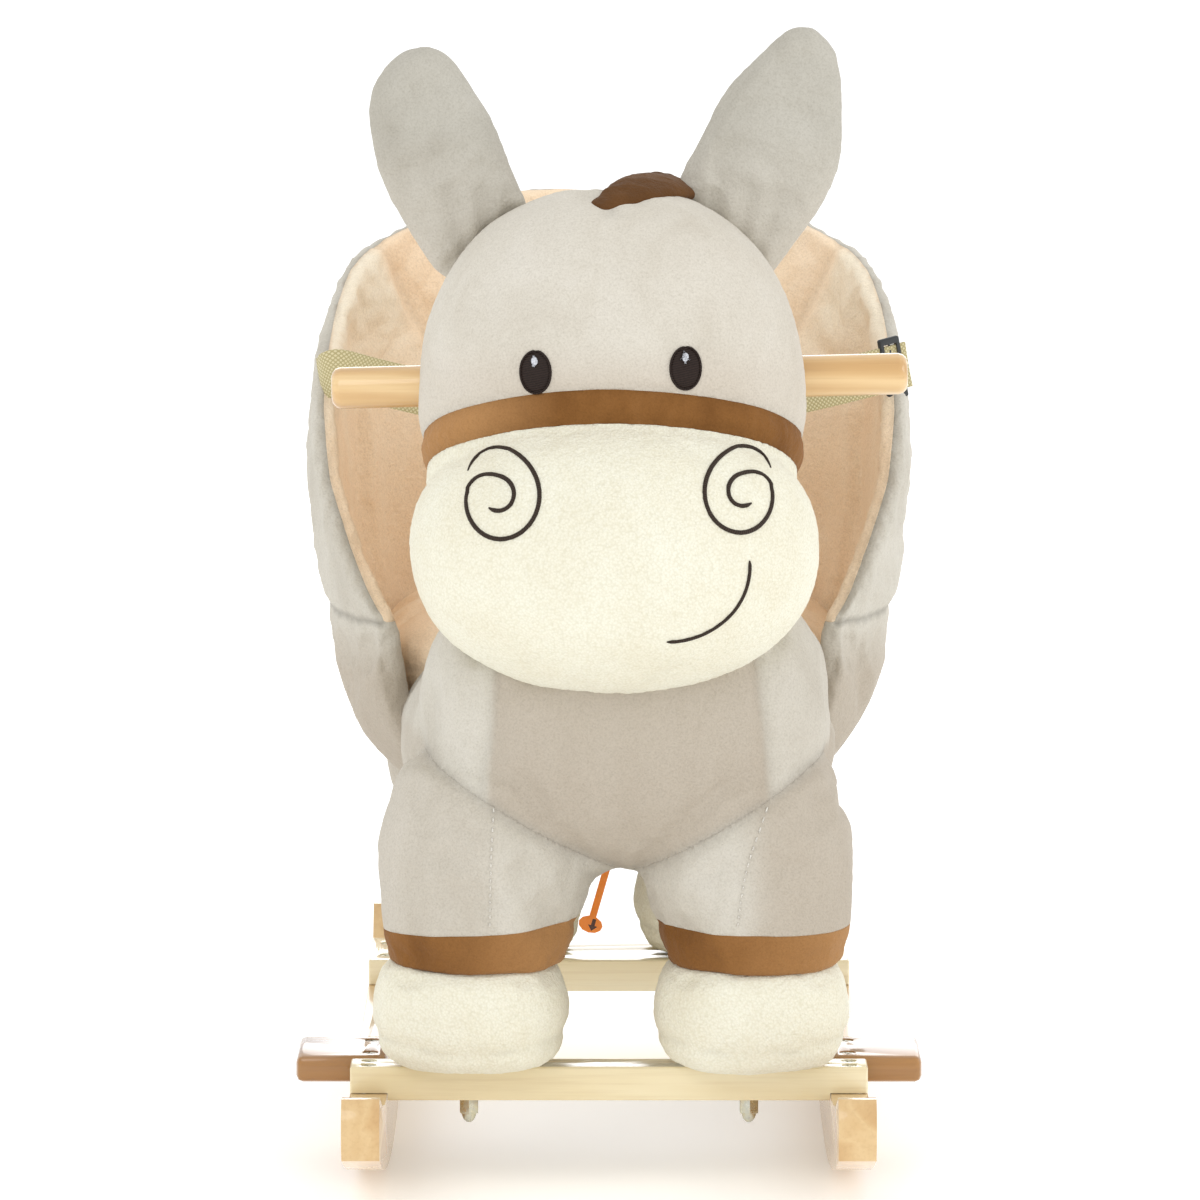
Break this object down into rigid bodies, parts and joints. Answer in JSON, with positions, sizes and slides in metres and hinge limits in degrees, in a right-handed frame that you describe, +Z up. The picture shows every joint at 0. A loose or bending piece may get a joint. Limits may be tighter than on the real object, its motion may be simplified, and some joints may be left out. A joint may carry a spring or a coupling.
{
  "type": "plush animal rocker",
  "caption": "Child's ride-on rocker: a plush donkey with a padded tub seat and lap belt, on curved wooden runners, with a dowel handle through its head and two foot boards.",
  "frame": {"origin": "on the floor, under the middle of the bounding box", "axes": "+Z up, the donkey faces -Y, +X to the seated rider's left"},
  "size_m": [0.332, 0.574, 0.609],
  "materials": {
    "honey_wood": "sealed beech, satin",
    "pine": "sanded pine, clear matt varnish",
    "brown_wood": "brown stained, satin",
    "plywood": "raw birch plywood",
    "zinc": "bright zinc plate",
    "gray_plush": "short dense plush pile",
    "cream_plush": "looped cream terry",
    "brown_plush": "short brown pile",
    "peach_plush": "brushed peach velour",
    "khaki_webbing": "woven polyester webbing",
    "black_plastic": "fine textured moulding",
    "battery_metal": "nickel-plated steel",
    "orange_film": "thin printed film"
  },
  "bodies": {
    "root": {"rocker_left": "honey_wood", "rocker_right": "honey_wood", "handle_bar": "honey_wood", "front_rail": "pine", "rear_rail": "pine", "neck_post": "pine", "leg_post_front_left": "pine", "leg_post_front_right": "pine", "leg_post_rear_left": "pine", "leg_post_rear_right": "pine", "pedal_left": "brown_wood", "pedal_right": "brown_wood", "seat_board": "plywood", "back_board": "plywood", "front_rail_screw_left_1": "zinc", "front_rail_screw_left_2": "zinc", "front_rail_screw_right_1": "zinc", "front_rail_screw_right_2": "zinc", "pedal_screw_left_1": "zinc", "pedal_screw_left_2": "zinc", "pedal_screw_right_1": "zinc", "pedal_screw_right_2": "zinc", "rear_rail_screw_left_1": "zinc", "rear_rail_screw_left_2": "zinc", "rear_rail_screw_right_1": "zinc", "rear_rail_screw_right_2": "zinc", "leg_bolt_front_left": "zinc", "leg_bolt_front_right": "zinc", "leg_bolt_rear_left": "zinc", "leg_bolt_rear_right": "zinc", "torso": "gray_plush", "head": "gray_plush", "ear_left": "gray_plush", "ear_right": "gray_plush", "tail": "gray_plush", "seat_shell": "gray_plush", "leg_front_left": "gray_plush", "leg_front_right": "gray_plush", "leg_rear_left": "gray_plush", "leg_rear_right": "gray_plush", "muzzle": "cream_plush", "hoof_front_left": "cream_plush", "hoof_front_right": "cream_plush", "hoof_rear_left": "cream_plush", "hoof_rear_right": "cream_plush", "noseband": "brown_plush", "mane": "brown_plush", "seat_lining": "peach_plush", "seat_cushion": "peach_plush", "belt_left": "khaki_webbing", "belt_right": "khaki_webbing", "buckle_socket": "black_plastic", "sound_module": "black_plastic", "battery": "battery_metal"},
    "pull_tab": {"pull_tab": "orange_film"},
    "battery_door": {"battery_door": "black_plastic"},
    "sound_button": {"sound_button": "black_plastic"},
    "buckle_plug": {"buckle_plug": "black_plastic"},
    "tri_glide": {"tri_glide": "black_plastic"}
  },
  "joints": [
    {"name": "pull_tab_out", "type": "slide", "parent": "root", "child": "pull_tab", "axis": [-0.2756, 0, -0.9613], "range_m": [0, 0.03]},
    {"name": "battery_door_hinge", "type": "hinge", "parent": "root", "child": "battery_door", "pos_m": [0, -0.03, 0.1705], "axis": [1, 0, 0], "range_deg": [0, 85]},
    {"name": "sound_button_press", "type": "slide", "parent": "root", "child": "sound_button", "axis": [0, 1, 0], "range_m": [0, 0.002], "stiffness_N_per_m": 400},
    {"name": "buckle_release", "type": "slide", "parent": "root", "child": "buckle_plug", "axis": [1, 0, 0], "range_m": [0, 0.02], "deforming": ["belt_left"]},
    {"name": "tri_glide_slide", "type": "slide", "parent": "root", "child": "tri_glide", "axis": [0.8863, 0.4204, 0.1944], "range_m": [-0.012, 0.001]}
  ]
}
